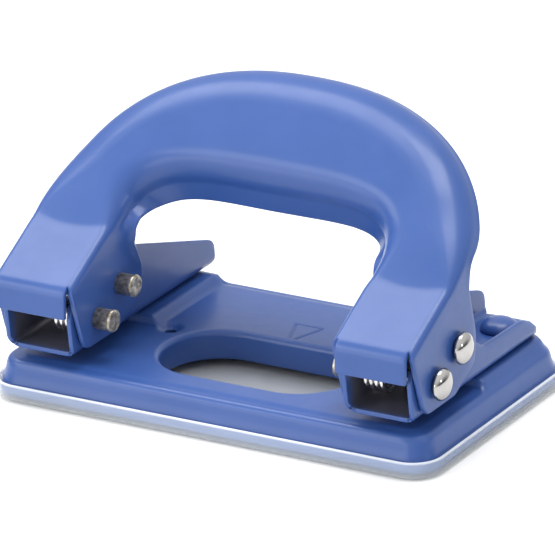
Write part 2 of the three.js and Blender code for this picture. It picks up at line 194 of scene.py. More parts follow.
def apply_modifiers(obj):
    graph = bpy.context.evaluated_depsgraph_get()
    mesh = bpy.data.meshes.new_from_object(obj.evaluated_get(graph))
    old = obj.data
    obj.modifiers.clear()
    obj.data = mesh
    bpy.data.meshes.remove(old)
    mesh.name = obj.name


def border_of(work):
    """The open sides of a skin as pairs of corners, and the direction out of the skin at each corner."""
    borders = []
    outward = {}
    for side in work.edges:
        if len(side.link_faces) != 1:
            continue
        loop = side.link_loops[0]
        a, b = loop.vert, loop.link_loop_next.vert
        away = (b.co - a.co).normalized().cross(loop.face.normal)
        borders.append((a, b))
        for v in (a, b):
            outward[v] = outward.get(v, Vector()) + away
    return borders, outward


def thicken(obj, thickness, edge):
    """Gives a skin the sheet's thickness below it, with a softly rounded cut edge all round."""
    with editing(obj) as work:
        work.normal_update()
        depth = thickness * MM
        skin_verts = list(work.verts)
        skin_faces = list(work.faces)
        borders, outward = border_of(work)
        under = {}
        for v in skin_verts:
            under[v] = work.verts.new(v.co - v.normal * depth * min(v.calc_shell_factor(), SHELL_LIMIT))
        rims = {}
        for v, away in outward.items():
            middle = (v.co + under[v].co) / 2
            half = (v.co - under[v].co) / 2
            away = away.normalized() * edge * MM
            rim = [v]
            for k in range(1, RIM_STEPS):
                c, d = math.cos(math.pi * k / RIM_STEPS), math.sin(math.pi * k / RIM_STEPS)
                across = half * math.copysign(abs(c) ** RIM_SQUARENESS, c)
                rim.append(work.verts.new(middle + across + away * d**RIM_SQUARENESS))
            rims[v] = rim + [under[v]]
        for face in skin_faces:
            work.faces.new([under[v] for v in reversed(face.verts)])
        for a, b in borders:
            for k in range(RIM_STEPS):
                work.faces.new((rims[b][k], rims[a][k], rims[a][k + 1], rims[b][k + 1]))
        smooth_faces(work)


def flip_faces(obj):
    with editing(obj) as work:
        bmesh.ops.reverse_faces(work, faces=work.faces)


def set_sharp(obj, degrees):
    """Smooth faces with creases kept sharp."""
    with editing(obj) as work:
        for face in work.faces:
            face.smooth = True
        for edge in work.edges:
            if len(edge.link_faces) == 2:
                edge.smooth = edge.calc_face_angle() < math.radians(degrees)


def mirrored(obj, name):
    """The left-hand copy of a right-hand piece."""
    mesh = obj.data.copy()
    mesh.name = name
    mesh.transform(Matrix.Scale(-1, 4, Vector((1, 0, 0))))
    copy = bpy.data.objects.new(name, mesh)
    bpy.context.scene.collection.objects.link(copy)
    flip_faces(copy)
    return copy


def grid_faces(rows, columns, closed=False):
    faces = []
    wide = columns if closed else columns - 1
    for i in range(rows - 1):
        for j in range(wide):
            k = (j + 1) % columns
            faces.append((i * columns + j, i * columns + k, (i + 1) * columns + k, (i + 1) * columns + j))
    return faces


def revolve(name, profile, segments=56):
    """A turned piece about +Z from (radius, z) points that start and end on the axis."""
    ring = [p for p in profile if p[0] > 1e-6]
    points = []
    for radius, z in ring:
        for k in range(segments):
            a = 2 * math.pi * k / segments
            points.append((radius * math.cos(a), radius * math.sin(a), z))
    faces = grid_faces(len(ring), segments, closed=True)
    first = len(points)
    points.append((0, 0, profile[0][1]))
    points.append((0, 0, profile[-1][1]))
    last = (len(ring) - 1) * segments
    for k in range(segments):
        n = (k + 1) % segments
        faces.append((first, n, k))
        faces.append((first + 1, last + k, last + n))
    obj = new_mesh(name, points, faces)
    tidy_mesh(obj)
    return obj


def fillet(points, radii, steps=5):
    """Rounds the corners of an open outline. radii holds one value for each point, 0 to leave it."""
    out = []
    for i, (p, r) in enumerate(zip(points, radii)):
        if not r or i in (0, len(points) - 1):
            out.append(tuple(p))
            continue
        here = Vector(p)
        back = Vector(points[i - 1]) - here
        ahead = Vector(points[i + 1]) - here
        half = back.angle(ahead) / 2
        reach = min(r / math.tan(half), back.length * 0.49, ahead.length * 0.49)
        a = here + back.normalized() * reach
        b = here + ahead.normalized() * reach
        for k in range(steps + 1):
            t = k / steps
            out.append(tuple(a * (1 - t) ** 2 + here * 2 * t * (1 - t) + b * t * t))
    return out


def finish_piece(obj, material, body, slot, *nodes):
    obj.data.materials.clear()
    obj.data.materials.append(material)
    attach(obj, body)
    if nodes:
        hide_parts(*nodes)
    return obj


# ------------------------------------------------------------------ materials
SPREAD = (0.3, 0.7)
TIGHT_SPREAD = (0.35, 0.65)
BLUES = (0.026, 0.072, 0.25), (0.031, 0.079, 0.268)
# A dark grey painted into the paint inside the brackets, as painted shade.
PAINTED_SHADE_GREY = (0.075, 0.078, 0.11)


class Nodes:
    """A short way to write the node tree of a material or a world."""

    def __init__(self, owner, coordinates="Object"):
        owner.use_nodes = True
        self.owner = owner
        self.tree = owner.node_tree
        kinds = ("BSDF_PRINCIPLED", "BACKGROUND")
        self.shader = next(node for node in self.tree.nodes if node.type in kinds)
        self.place = self.add("ShaderNodeTexCoord").outputs[coordinates]

    def add(self, kind, **values):
        node = self.tree.nodes.new(kind)
        for key, value in values.items():
            if key in node.inputs:
                node.inputs[key].default_value = value
            else:
                setattr(node, key, value)
        return node

    def link(self, a, b):
        self.tree.links.new(a, b)

    def give(self, socket, value):
        """Sets one of the shader's sockets to a plain value, or links a node's output to it."""
        if isinstance(value, bpy.types.NodeSocket):
            self.link(value, self.shader.inputs[socket])
        else:
            self.shader.inputs[socket].default_value = value

    def along(self, axis):
        """Where a point lies along an axis."""
        split = self.add("ShaderNodeSeparateXYZ")
        self.link(self.place, split.inputs[0])
        return split.outputs[axis]

    def noise(self, scale, detail, stretch=None):
        node = self.add("ShaderNodeTexNoise", Scale=scale, Detail=detail, Roughness=0.5)
        source = self.place
        if stretch:
            mapping = self.add("ShaderNodeMapping", Scale=stretch)
            self.link(source, mapping.inputs["Vector"])
            source = mapping.outputs["Vector"]
        self.link(source, node.inputs["Vector"])
        return node.outputs["Fac"]

    def ramp(self, source, low, high, start, end):
        """Goes from low to high, while the source goes from start to end."""
        node = self.add("ShaderNodeMapRange")
        node.inputs["From Min"].default_value = start
        node.inputs["From Max"].default_value = end
        node.inputs["To Min"].default_value = low
        node.inputs["To Max"].default_value = high
        self.link(source, node.inputs["Value"])
        return node.outputs["Result"]

    def maths(self, operation, *sources, clamp=False):
        node = self.add("ShaderNodeMath", operation=operation, use_clamp=clamp)
        for socket, source in zip(node.inputs, sources):
            if isinstance(source, float):
                socket.default_value = source
            else:
                self.link(source, socket)
        return node.outputs[0]

    def blend(self, factor, first, second):
        """A colour that goes from the first to the second. Each is a plain colour or a node's output."""
        node = self.add("ShaderNodeMix", data_type="RGBA")
        self.link(factor, node.inputs["Factor"])
        sockets = [socket for socket in node.inputs if socket.type == "RGBA"]
        for socket, color in zip(sockets, (first, second)):
            if isinstance(color, tuple):
                socket.default_value = (*color, 1)
            else:
                self.link(color, socket)
        return next(socket for socket in node.outputs if socket.type == "RGBA")

    def bump(self, height, strength, distance):
        node = self.add("ShaderNodeBump", Strength=strength, Distance=distance)
        self.link(height, node.inputs["Height"])
        self.give("Normal", node.outputs["Normal"])


def blue_enamel(n):
    """The paint's own colour, a little uneven."""
    return n.blend(n.ramp(n.noise(60, 3), 0, 1, *TIGHT_SPREAD), *BLUES)


def paint_coat(n, color):
    """Stoved enamel: a soft gloss with a faint orange peel."""
    n.give("Base Color", color)
    n.give("Roughness", n.ramp(n.noise(380, 3), 0.3, 0.37, *SPREAD))
    n.give("Specular IOR Level", 0.36)
    n.give("Coat Weight", 0.12)
    n.give("Coat Roughness", 0.14)
    n.bump(n.noise(700, 2), 0.05, 0.0002)
    return n.owner


def blue_paint():
    n = Nodes(bpy.data.materials.new("blue_paint"))
    return paint_coat(n, blue_enamel(n))


def bracket_paint_and_shade():
    """The same paint, darkened to a painted shade of dark grey inside the bracket, from behind its mouth
    back to under the handle, where shade falls.
    """
    n = Nodes(bpy.data.materials.new("bracket_paint_and_shade"))
    y = n.along("Y")
    # Painted shade: the paint turns dark grey from just behind the mouth back to under the handle.
    behind_mouth = n.ramp(y, 0, 1, (FRONT_Y + 0.6) * MM, (FRONT_Y + 3.2) * MM)
    before_back = n.ramp(y, 1, 0, -7 * MM, -1 * MM)
    shade_mask = n.maths("MULTIPLY", behind_mouth, before_back)
    return paint_coat(n, n.blend(shade_mask, blue_enamel(n), PAINTED_SHADE_GREY))


def bare_metal(name, tone, colors, roughness, dents, metallic=1):
    """Unpainted metal.

    tone is (noise, spread) and goes between the colours, roughness is (noise, low, high) and dents is
    (noise, bump). Each noise is (scale, detail) or (scale, detail, stretch), and a bump is
    (strength, distance).
    """
    n = Nodes(bpy.data.materials.new(name))
    noise, spread = tone
    n.give("Base Color", n.blend(n.ramp(n.noise(*noise), 0, 1, *spread), *colors))
    n.give("Metallic", metallic)
    noise, low, high = roughness
    n.give("Roughness", n.ramp(n.noise(*noise), low, high, *SPREAD))
    noise, bump = dents
    n.bump(n.noise(*noise), *bump)
    return n.owner


def chrome():
    return bare_metal(
        "pin_chrome",
        tone=((300, 3), SPREAD),
        colors=((0.42, 0.41, 0.40), (0.50, 0.49, 0.48)),
        roughness=((1500, 4), 0.07, 0.16),
        dents=((1600, 3), (0.05, 0.0001)),
    )


def hammered_steel():
    """The pins' peened ends, dull and a little brown."""
    return bare_metal(
        "peened_steel",
        tone=((900, 4), TIGHT_SPREAD),
        colors=((0.22, 0.19, 0.14), (0.62, 0.57, 0.48)),
        roughness=((1400, 3), 0.28, 0.5),
        dents=((1100, 4), (0.5, 0.0004)),
        metallic=0.85,
    )


def ground_steel():
    """The cutters, ground round, so that their marks run across them."""
    grind = (1, 1, 12)
    return bare_metal(
        "cutter_steel",
        tone=((600, 4, grind), SPREAD),
        colors=((0.36, 0.36, 0.37), (0.52, 0.52, 0.53)),
        roughness=((900, 3, grind), 0.25, 0.42),
        dents=((1200, 3, grind), (0.1, 0.0001)),
    )


def spring_wire():
    return bare_metal(
        "spring_steel",
        tone=((900, 3), SPREAD),
        colors=((0.58, 0.57, 0.55), (0.78, 0.77, 0.76)),
        roughness=((1800, 2), 0.15, 0.28),
        dents=((2200, 3), (0.08, 0.0001)),
    )


def milky_plastic():
    """Clear plastic gone milky, with painted light: a painted blue shine where the base's paint shines into
    it, painted streaks standing in for reflections, and a painted highlight along its rim.
    """
    n = Nodes(bpy.data.materials.new("tray_plastic"))
    height = n.along("Z")
    # Painted reflections: stretched streaks in the painted blue shine.
    painted_streaks = n.ramp(n.noise(30, 2, stretch=(0.3, 0.3, 6)), -0.25, 0.25, *SPREAD)
    painted_blue_shine = n.maths("ADD", n.ramp(height, 0, 1, 1.0 * MM, 2.2 * MM), painted_streaks, clamp=True)
    # Painted highlight: the top of the rim is painted near-white, and the same mask makes it more opaque.
    rim = n.ramp(height, 0, 1, (TRAY_TOP - 0.55) * MM, (TRAY_TOP - 0.2) * MM)
    body = n.blend(painted_blue_shine, (0.58, 0.61, 0.64), (0.42, 0.50, 0.68))
    n.give("Base Color", n.blend(rim, body, (0.80, 0.83, 0.88)))
    n.give("Alpha", n.ramp(rim, 0.42, 0.65, 0, 1))
    n.give("IOR", 1.5)
    n.give("Roughness", n.ramp(n.noise(120, 2), 0.14, 0.24, *SPREAD))
    n.bump(n.noise(60, 2, stretch=(0.2, 0.2, 6)), 0.08, 0.0006)
    return n.owner


# ------------------------------------------------------------------ flat sheets from outlines
SLIVER = 1e-3
GRID_GAP = 0.58


def spaced(points, step):
    """Adds points to a closed outline so that none of its sides is longer than step."""
    out = []
    for a, b in zip(points, points[1:] + points[:1]):
        count = max(1, math.ceil(math.dist(a, b) / step))
        out += [(mix(a[0], b[0], k / count), mix(a[1], b[1], k / count)) for k in range(count)]
    return out


def inside(point, loop):
    x, y = point
    odd = False
    for (x0, y0), (x1, y1) in zip(loop, loop[1:] + loop[:1]):
        if (y0 > y) != (y1 > y) and x < (x1 - x0) * (y - y0) / (y1 - y0) + x0:
            odd = not odd
    return odd


def clear_of(point, loop, gap):
    """True if the point is further than gap from every corner point of a finely spaced loop."""
    return all((point[0] - q[0]) ** 2 + (point[1] - q[1]) ** 2 > gap * gap for q in loop)


def flip_slivers(obj):
    """Turns the long side of each triangle that is flat to a line, whose normal would point anywhere."""
    with editing(obj) as work:
        for face in list(work.faces):
            if not face.is_valid or face.calc_area() > SLIVER * MM * MM:
                continue
            longest = max(face.edges, key=lambda side: side.calc_length())
            if len(longest.link_faces) == 2:
                bmesh.utils.edge_rotate(longest)
    return obj


def flat_sheet(name, outline, holes, grid, extra, shape):
    """Fills an outline with holes by triangles, and places each point by shape(a, b)."""
    loops = [outline, *holes]
    points = []
    edges = []
    for loop in loops:
        first = len(points)
        points += loop
        edges += [(first + k, first + (k + 1) % len(loop)) for k in range(len(loop))]

    def on_sheet(p):
        return inside(p, outline) and not any(inside(p, hole) for hole in holes)

    kept = [p for p in grid if on_sheet(p) and all(clear_of(p, loop, GRID_GAP) for loop in loops)]
    points = [Vector(p) for p in points + kept + extra]
    result = geometry.delaunay_2d_cdt(points, edges, [], 0, 1e-5)
    verts, faces = result[0], result[2]
    wanted = []
    for face in faces:
        centre = sum((verts[i] for i in face), Vector((0, 0))) / len(face)
        if on_sheet(centre):
            wanted.append(tuple(face))
    return flip_slivers(new_mesh(name, [shape(v.x, v.y) for v in verts], wanted))


def join(name, parts):
    """Joins meshes into a new one, with shared points merged."""
    work = bmesh.new()
    for part in parts:
        work.from_mesh(part.data)
    bmesh.ops.remove_doubles(work, verts=work.verts, dist=JOIN_GAP * MM)
    smooth_faces(work)
    mesh = bpy.data.meshes.new(name)
    work.to_mesh(mesh)
    work.free()
    for part in parts:
        bpy.data.objects.remove(part)
    obj = bpy.data.objects.new(name, mesh)
    bpy.context.scene.collection.objects.link(obj)
    return obj


# ------------------------------------------------------------------ base plate
TOP_INSET = 4.0
SKIRT_INSET = 1.05
EDGE_DROP = 0.32
PAD_RAMP = 2.2
PAD_STEP = 0.9
PAD_BACK = 2.0
PAD_BORDER = (2.3, 1.9)
DIMPLE_DEPTH = 0.9
DIE_SINK = 0.25
DIE_LIP = 0.5
GROOVE_DEPTH = 0.3
GROOVE_WIDTH = 0.26
GROOVE_REACH = 1.2
WINDOW_TURN = 1.3
WINDOW_BORDER = 0.4
WINDOW_SIDE_STEPS = 14
WINDOW_RIM_DEPTHS = (6.4, 5.0, 4.0, 3.0)
SHOULDER = [(3.5, 8.66), (3.05, 8.55), (2.7, 8.33), (2.42, 8.0), (2.22, 7.55), (2.08, 7.0), (1.9, 6.0)]
FOOT = [(1.6, 4.8), (1.3, 3.9), (1.12, 3.2), (SKIRT_INSET, 2.4), (SKIRT_INSET, 1.4)]
DIMPLE_RINGS = (1.7, 2.1, 2.5, 2.9, 3.3)
DIE_RINGS = (0.17, 0.34, 0.55)
GROOVE_LINES = (-0.6, -0.4, -0.26, -0.13, 0, 0.13, 0.26, 0.4, 0.6)
GROOVE_STEPS = 26
TOP_GRID = 0.62


def base_radius(inset):
    """The pressed plate's corners are a little tighter at the border of its top than at its foot."""
    return 5.55 - 0.45 * (inset - SKIRT_INSET)


def rounded_outline(inset, radius, step=1.4, corner_steps=12):
    """A rounded rectangle inset from the tray's outside, with evenly matched points at any inset."""
    hx, hy, r = HALF_X - inset, HALF_Y - inset, radius
    quarter = math.pi / 2
    corners = [(hx - r, r - hy, -quarter), (hx - r, hy - r, 0)]
    corners += [(r - hx, hy - r, quarter), (r - hx, r - hy, 2 * quarter)]
    sides = [(2 * (hy - r), HALF_Y), (2 * (hx - r), HALF_X)] * 2
    loop = []
    for (cx, cy, start), (side, half) in zip(corners, sides):
        loop += arc(cx, cy, r, start, start + quarter, corner_steps)
        x, y = loop[-1]
        ahead = Vector((math.cos(start + quarter + quarter), math.sin(start + quarter + quarter)))
        count = math.ceil(2 * half / step)
        for k in range(1, count):
            loop.append((x + ahead.x * side * k / count, y + ahead.y * side * k / count))
    return loop


def inset_of(x, y):
    """How far a point lies in from the tray's rounded outline."""
    dx = abs(x) - (HALF_X - LAND_RADIUS)
    dy = abs(y) - (HALF_Y - LAND_RADIUS)
    outside = math.hypot(max(dx, 0), max(dy, 0)) + min(max(dx, dy), 0)
    return LAND_RADIUS - outside


def pad_rise(x, y):
    """The pad under each bracket: a short steep step in front, softer ramps at the sides."""
    side = min(abs(x) - PAD_X[0], PAD_X[1] - abs(x)) / PAD_RAMP
    front = (y - PAD_Y[0]) / PAD_STEP
    back = (PAD_Y[1] - y) / PAD_BACK
    border = (inset_of(x, y) - PAD_BORDER[0]) / PAD_BORDER[1]
    return (PAD_Z - LAND_Z) * smooth(side) * smooth(front) * smooth(back) * smooth(border)


def segment_distance(p, a, b):
    p, a, b = Vector(p), Vector(a), Vector(b)
    t = min(max((p - a).dot(b - a) / (b - a).length_squared, 0), 1)
    return (a + (b - a) * t - p).length


def base_top(x, y):
    """Height of the plate's top."""
    inset = inset_of(x, y)
    z = LAND_Z - EDGE_DROP * (1 - smooth((inset - 4.4) / 1.1))
    z += pad_rise(x, y)
    ex, ey, hole, dimple = EYELET
    r = math.hypot(abs(x) - ex, y - ey)
    z -= DIMPLE_DEPTH * smooth((dimple - r) / (dimple - hole))
    r = math.hypot(abs(x) - CUTTER[0], y - CUTTER[1])
    z -= DIE_SINK * smooth((DIE_RADIUS + DIE_LIP - r) / DIE_LIP)
    groove = min(segment_distance((x, y), a, b) for a, b in zip(MARK, MARK[1:] + MARK[:1]))
    if groove < GROOVE_REACH:
        z -= GROOVE_DEPTH * math.exp(-((groove / GROOVE_WIDTH) ** 2))
    return z


def stadium(grow, steps=26):
    """The window's outline, grown outwards."""
    half = WINDOW_HALF[0] - WINDOW_HALF[1]
    radius = WINDOW_HALF[1] + grow
    along = [k / WINDOW_SIDE_STEPS for k in range(1, WINDOW_SIDE_STEPS)]
    loop = arc(half, WINDOW_Y, radius, -math.pi / 2, math.pi / 2, steps)
    loop += [(mix(half, -half, t), WINDOW_Y + radius) for t in along]
    loop += arc(-half, WINDOW_Y, radius, math.pi / 2, 3 * math.pi / 2, steps)
    loop += [(mix(-half, half, t), WINDOW_Y - radius) for t in along]
    return loop


def circle(x, y, radius, steps=36):
    return arc(x, y, radius, 0, 2 * math.pi, steps)[:-1]


def skirt():
    """From the top's border over the rounded shoulder and down inside the tray."""
    rows = [(rounded_outline(TOP_INSET, base_radius(TOP_INSET)), None)]
    rows += [(rounded_outline(inset, base_radius(inset)), z) for inset, z in SHOULDER + FOOT]
    points = []
    for loop, z in rows:
        points += [(x, y, base_top(x, y) if z is None else z + pad_rise(x, y)) for x, y in loop]
    return new_mesh("skirt", points, grid_faces(len(rows), len(rows[0][0]), closed=True))


def window_rim():
    """The window's edge, turned down through a soft bend."""
    turn = WINDOW_TURN
    rows = [(stadium(turn + WINDOW_BORDER), LAND_Z), (stadium(turn), LAND_Z)]
    for k in range(1, 8):
        a = k / 7 * math.pi / 2
        rows.append((stadium(turn * (1 - math.sin(a))), LAND_Z - turn * (1 - math.cos(a))))
    rows += [(stadium(0), z) for z in WINDOW_RIM_DEPTHS]
    points = [(x, y, z) for loop, z in rows for x, y in loop]
    return new_mesh("rim", points, grid_faces(len(rows), len(rows[0][0]), closed=True))


def near_detail(x, y):
    """True where the plate's top has its own points, so that the plain grid leaves room."""
    near_eyelet = math.hypot(abs(x) - EYELET[0], y - EYELET[1]) < 3.5
    near_die = math.hypot(abs(x) - CUTTER[0], y - CUTTER[1]) < DIE_RADIUS + 0.9
    near_step = 27.8 < abs(x) < 47.4 and PAD_Y[0] - 0.3 < y < PAD_Y[0] + 1.3
    return near_eyelet or near_die or near_step


def detail_points():
    """Points for the dimples, the die holes, the pads' steps and the centre mark's groove."""
    extra = []
    ex, ey, _, _ = EYELET
    for side in (-1, 1):
        for r in DIMPLE_RINGS:
            extra += circle(side * ex, ey, r, 28)
        for r in DIE_RINGS:
            extra += circle(side * CUTTER[0], CUTTER[1], DIE_RADIUS + r, 40)
        for k in range(8):
            y = PAD_Y[0] - 0.1 + k * 0.16
            extra += [(side * (28.0 + j * 0.6), y) for j in range(33)]
    for a, b in zip(MARK, MARK[1:] + MARK[:1]):
        normal = Vector((a[1] - b[1], b[0] - a[0])).normalized()
        for off in GROOVE_LINES:
            for k in range(1, GROOVE_STEPS):
                x, y = (mix(a[i], b[i], k / GROOVE_STEPS) for i in (0, 1))
                extra.append((x + normal.x * off, y + normal.y * off))
    return extra


def plate_top():
    outline = rounded_outline(TOP_INSET, base_radius(TOP_INSET))
    holes = [stadium(WINDOW_TURN + WINDOW_BORDER)]
    ex, ey, hole, _ = EYELET
    for side in (-1, 1):
        holes.append(circle(side * ex, ey, hole, 24))
        holes.append(circle(side * CUTTER[0], CUTTER[1], DIE_RADIUS))
    step = TOP_GRID
    nx, ny = int(HALF_X / step), int(HALF_Y / step)
    grid = [(i * step, j * step * 0.98) for i in range(-nx, nx + 1) for j in range(-ny, ny + 1)]
    grid = [p for p in grid if not near_detail(*p)]
    grid += [(x + 0.31, y + 0.3) for x, y in grid if abs(x) < 4.6 and 3 < y < 14.4]
    return flat_sheet("top", outline, holes, grid, detail_points(), lambda x, y: (x, y, base_top(x, y)))


def base_plate(paint):
    plate = join("painted_base", [plate_top(), skirt(), window_rim()])
    lowest = min(plate.data.polygons, key=lambda f: abs(f.center.x) + abs(f.center.y - 0.02))
    if lowest.normal.z < 0:
        flip_faces(plate)
    thicken(plate, SHEET, edge=0.2)
    finish_piece(plate, paint, "base", "blue_paint", "base_plate")


# ------------------------------------------------------------------ brackets
WEB_Z = BRACKET_LOW[2]
BRACKET_HALF = (BRACKET_HIGH[0] - BRACKET_LOW[0]) / 2
BEND = 2.4
FLAT = BRACKET_HALF - BEND
BEND_LENGTH = BEND * math.pi / 2
REAR_Y = BRACKET_HIGH[1]
FRONT_Y = BRACKET_LOW[1]
SLOT_Y = DRIVE[1] + 0.55
SLOT_RADIUS = 2.65
SLOT_TRAVEL = 4.7
PIVOT_HOLE = 2.0
CUTTER_HOLE = 3.1
SKIN_DEPTH = 0.9
MOUTH = [(-27.2, 11.9), (-28.0, 14), (FRONT_Y, 20), (-27.6, 22.6), (-25, 24.7), (-12, 28)]
MOUTH_RADII = [0, 2, 2, 1.5, 3, 4]


def developed(z):
    """Distance from the web's middle, along the unrolled sheet, of a flange point at height z."""
    rise = z - WEB_Z
    if rise >= BEND:
        return FLAT + BEND_LENGTH + rise - BEND
    return FLAT + BEND * math.acos(1 - rise / BEND)


def rolled(s, y):
    """Places an unrolled point on the bracket's outside: s < 0 is the tall flange's half."""
    away = abs(s)
    if away <= FLAT:
        u, z = away, WEB_Z
    elif away <= FLAT + BEND_LENGTH:
        a = (away - FLAT) / BEND
        u, z = FLAT + BEND * math.sin(a), WEB_Z + BEND * (1 - math.cos(a))
    else:
        u, z = BRACKET_HALF, WEB_Z + BEND + away - FLAT - BEND_LENGTH
    return (LEG_X + math.copysign(u, s), y, z)


def tall_edge():
    """The tall flange's outline in y and z, from the front bend over the top to the back."""
    ends = [*MOUTH, (-6.0, 28.4), (REAR_Y - 0.15, 17.0), (REAR_Y, 12.6), (REAR_Y - 0.4, 11.9)]
    return fillet(ends, [*MOUTH_RADII, 3, 3.6, 0.6, 0], 7)


def low_edge():
    """The low flange's outline, the same in front and cut down behind the drive pin."""
    ends = [*MOUTH, (-6.4, 27.2), (-3, 20.4), (1.2, 17.4), (18.2, 16.9), (22.4, 14.0), (23.2, 12.0)]
    return fillet(ends, [*MOUTH_RADII, 3, 2.5, 4, 4.5, 1.5, 0], 6)


def bracket_outline():
    """The bracket's outline on the unrolled sheet, as distances across it and along the base."""
    tall = [(-developed(z), y) for y, z in tall_edge()]
    low = [(developed(z), y) for y, z in low_edge()]
    front = fillet([(-8.2, -27.05), (-6.6, -26.9), (6.6, -26.9), (8.2, -27.05)], [0, 1, 1, 0], 3)
    back = [(-7.2, REAR_Y - 0.9), (-5.2, REAR_Y - 0.2), (3.4, REAR_Y - 0.2), (6.0, 26.6), (7.3, 24.0)]
    back = fillet(back, [0, 1.5, 1.8, 2.0, 0], 5)
    return spaced(front + low + back[::-1] + tall[::-1], 0.8)


def bracket_holes():
    """The cutter's hole in the web, and the pivot hole and the drive pin's slot in each flange."""
    holes = [circle(0, CUTTER[1], CUTTER_HOLE, 30)]
    high, bottom = developed(DRIVE[2]), developed(DRIVE[2] - SLOT_TRAVEL)
    quarter = math.pi / 2
    slot = arc(high, SLOT_Y, SLOT_RADIUS, -quarter, quarter, 12)
    slot += arc(bottom, SLOT_Y, SLOT_RADIUS, quarter, 3 * quarter, 12)
    for side in (-1, 1):
        holes.append(circle(side * developed(PIVOT[2]), PIVOT[1], PIVOT_HOLE, 24))
        holes.append([(side * s, y) for s, y in slot])
    return holes


def bracket(paint, inner_shaded_paint):
    columns = [FLAT + BEND_LENGTH * k / 8 for k in range(9)]
    columns += [FLAT * k / 5 for k in range(5)]
    columns += [FLAT + BEND_LENGTH + 1.1 * k for k in range(1, 16)]
    columns = sorted({c for c in columns} | {-c for c in columns})
    grid = [(s, FRONT_Y + 0.9 * k) for s in columns for k in range(64)]
    obj = flat_sheet("bracket_skin_right", bracket_outline(), bracket_holes(), grid, [], rolled)
    tidy_mesh(obj)
    web = min(obj.data.polygons, key=lambda f: f.center.z)
    if web.normal.z > 0:
        flip_faces(obj)
    thicken(obj, SHEET, edge=0.22)
    left = mirrored(obj, "bracket_skin_left")
    for piece, side in ((obj, "right"), (left, "left")):
        finish_piece(piece, paint, "base", "blue_paint", f"bracket_{side}")
        # Faces between the flanges and above the web take the paint with the painted shade inside the
        # channel.
        piece.data.materials.append(inner_shaded_paint)
        for face in piece.data.polygons:
            between = abs(abs(face.center.x / MM) - LEG_X) < BRACKET_HALF - SKIN_DEPTH
            above = face.center.z > (WEB_Z + SKIN_DEPTH) * MM
            face.material_index = 1 if between and above else 0


def rivets(paint):
    for place in ("front", "rear"):
        low, high = corner_mm(f"{place}_rivet_right")
        x, y, _ = middle_mm(f"{place}_rivet_right")
        seat = WEB_Z + SHEET + 0.02
        head = (high[0] - low[0]) / 2
        rise = high[2] - seat
        lift = 0.35
        turns = [k * math.pi / 28 for k in range(1, 14)]
        cap = [(head * math.cos(a), seat + lift + (rise - lift) * math.sin(a)) for a in turns]
        profile = [(0, low[2]), (2.2, low[2]), (2.9, low[2] + 0.5), (2.9, 9.6), (1.6, 9.7), (1.6, seat)]
        profile += [(head - 0.15, seat), (head, seat + 0.15), (head, seat + lift), *cap, (0, high[2])]
        obj = revolve(f"{place}_rivet_cap_right", profile)
        obj.data.transform(Matrix.Translation((x * MM, y * MM, 0)))
        left = mirrored(obj, f"{place}_rivet_cap_left")
        finish_piece(obj, paint, "base", "blue_paint", f"{place}_rivet_right")
        finish_piece(left, paint, "base", "blue_paint", f"{place}_rivet_left")


# ------------------------------------------------------------------ handle
LEG_START = 12.0
LEG_ROWS = 14
ARCH_ROWS = 86
EDGE_STEPS = 400
PATH_STEPS = 400
FACE_STEPS = 16
ROUND_STEPS = 8
WALL_STEPS = 9
NOSE_BEND = 3.4
NOSE_TURN = math.radians(60)
NOSE_TANGENT = NOSE_BEND * math.tan(NOSE_TURN / 2)
NOSE_STEPS = 9
LIP_STEPS = 8
LIP_FOOT = 21.3
LIP_LEAN = 0.05
LEG_ROUND = 1.6
LEG_PULL = 1.25
LEG_END = 12.1
ARCH_BLEND = 14
ROUND_START = 16
ROUND_BLEND = 18
LEAST_WALL = 0.6


def on_face(q, w=0.0):
    """The handle's face is a bent sheet: q runs up it from the nose, w across from edge to edge (-1 to 1).

    The arch is crowned, so its edges lie a little lower and the fold from the flat leg starts further up
    them. Gives y, z and the slope.
    """
    lag = CROWN * w * w / math.sin(ARCH_ANGLE - LEG_ANGLE)
    straight = LEG_LENGTH + lag
    foot = ARCH_ANGLE - BOW / 2
    bend = BEND_RADIUS * (foot - LEG_ANGLE)
    slope = mix(LEG_ANGLE, foot, min(max((q - straight) / bend, 0), 1))
    flat = min(q, straight)
    y = flat * math.cos(LEG_ANGLE) + BEND_RADIUS * (math.sin(slope) - math.sin(LEG_ANGLE))
    z = flat * math.sin(LEG_ANGLE) + BEND_RADIUS * (math.cos(LEG_ANGLE) - math.cos(slope))
    beyond = q - straight - bend
    if beyond > 0:
        slope = foot + beyond / BOW_RADIUS
        y += BOW_RADIUS * (math.sin(slope) - math.sin(foot))
        z += BOW_RADIUS * (math.cos(foot) - math.cos(slope))
    return NOSE[0] + y, NOSE[1] + z, slope


def edge_curve(x, side):
    """One edge of the arch on the face, from the straight leg's end to the crown, as a fine polyline."""
    points = [(x, LEG_START), (x, side["start"])]
    for k in range(1, EDGE_STEPS + 1):
        a = (k / EDGE_STEPS) ** 2 * math.pi / 2
        q = side["start"] + (side["crown"] - side["start"]) * math.sin(a) ** (2 / side["power"])
        points.append((x * max(math.cos(a), 0) ** (2 / side["power"]), q))
    return points


def resample(points, count):
    """Evenly spaced points along a polyline."""
    lengths = [0.0]
    for a, b in zip(points, points[1:]):
        lengths.append(lengths[-1] + math.dist(a, b))
    out = []
    k = 0
    for i in range(count + 1):
        want = lengths[-1] * i / count
        while k < len(points) - 2 and lengths[k + 1] < want:
            k += 1
        t = (want - lengths[k]) / max(lengths[k + 1] - lengths[k], 1e-9)
        out.append((mix(points[k][0], points[k + 1][0], t), mix(points[k][1], points[k + 1][1], t)))
    return out


def flange_path(last):
    """The leg's lower edge in y and z: front corner, level bottom, rising part, rear corner, up to last."""
    ends = [(-26.35, 15.4), (-25.2, 12.9), (-13.5, 12.9), (-5.2, 17.1), (-4.3, 22.8), last]
    return fillet(ends, [0, 2.6, 3, 2.4, 9, 0], 8)


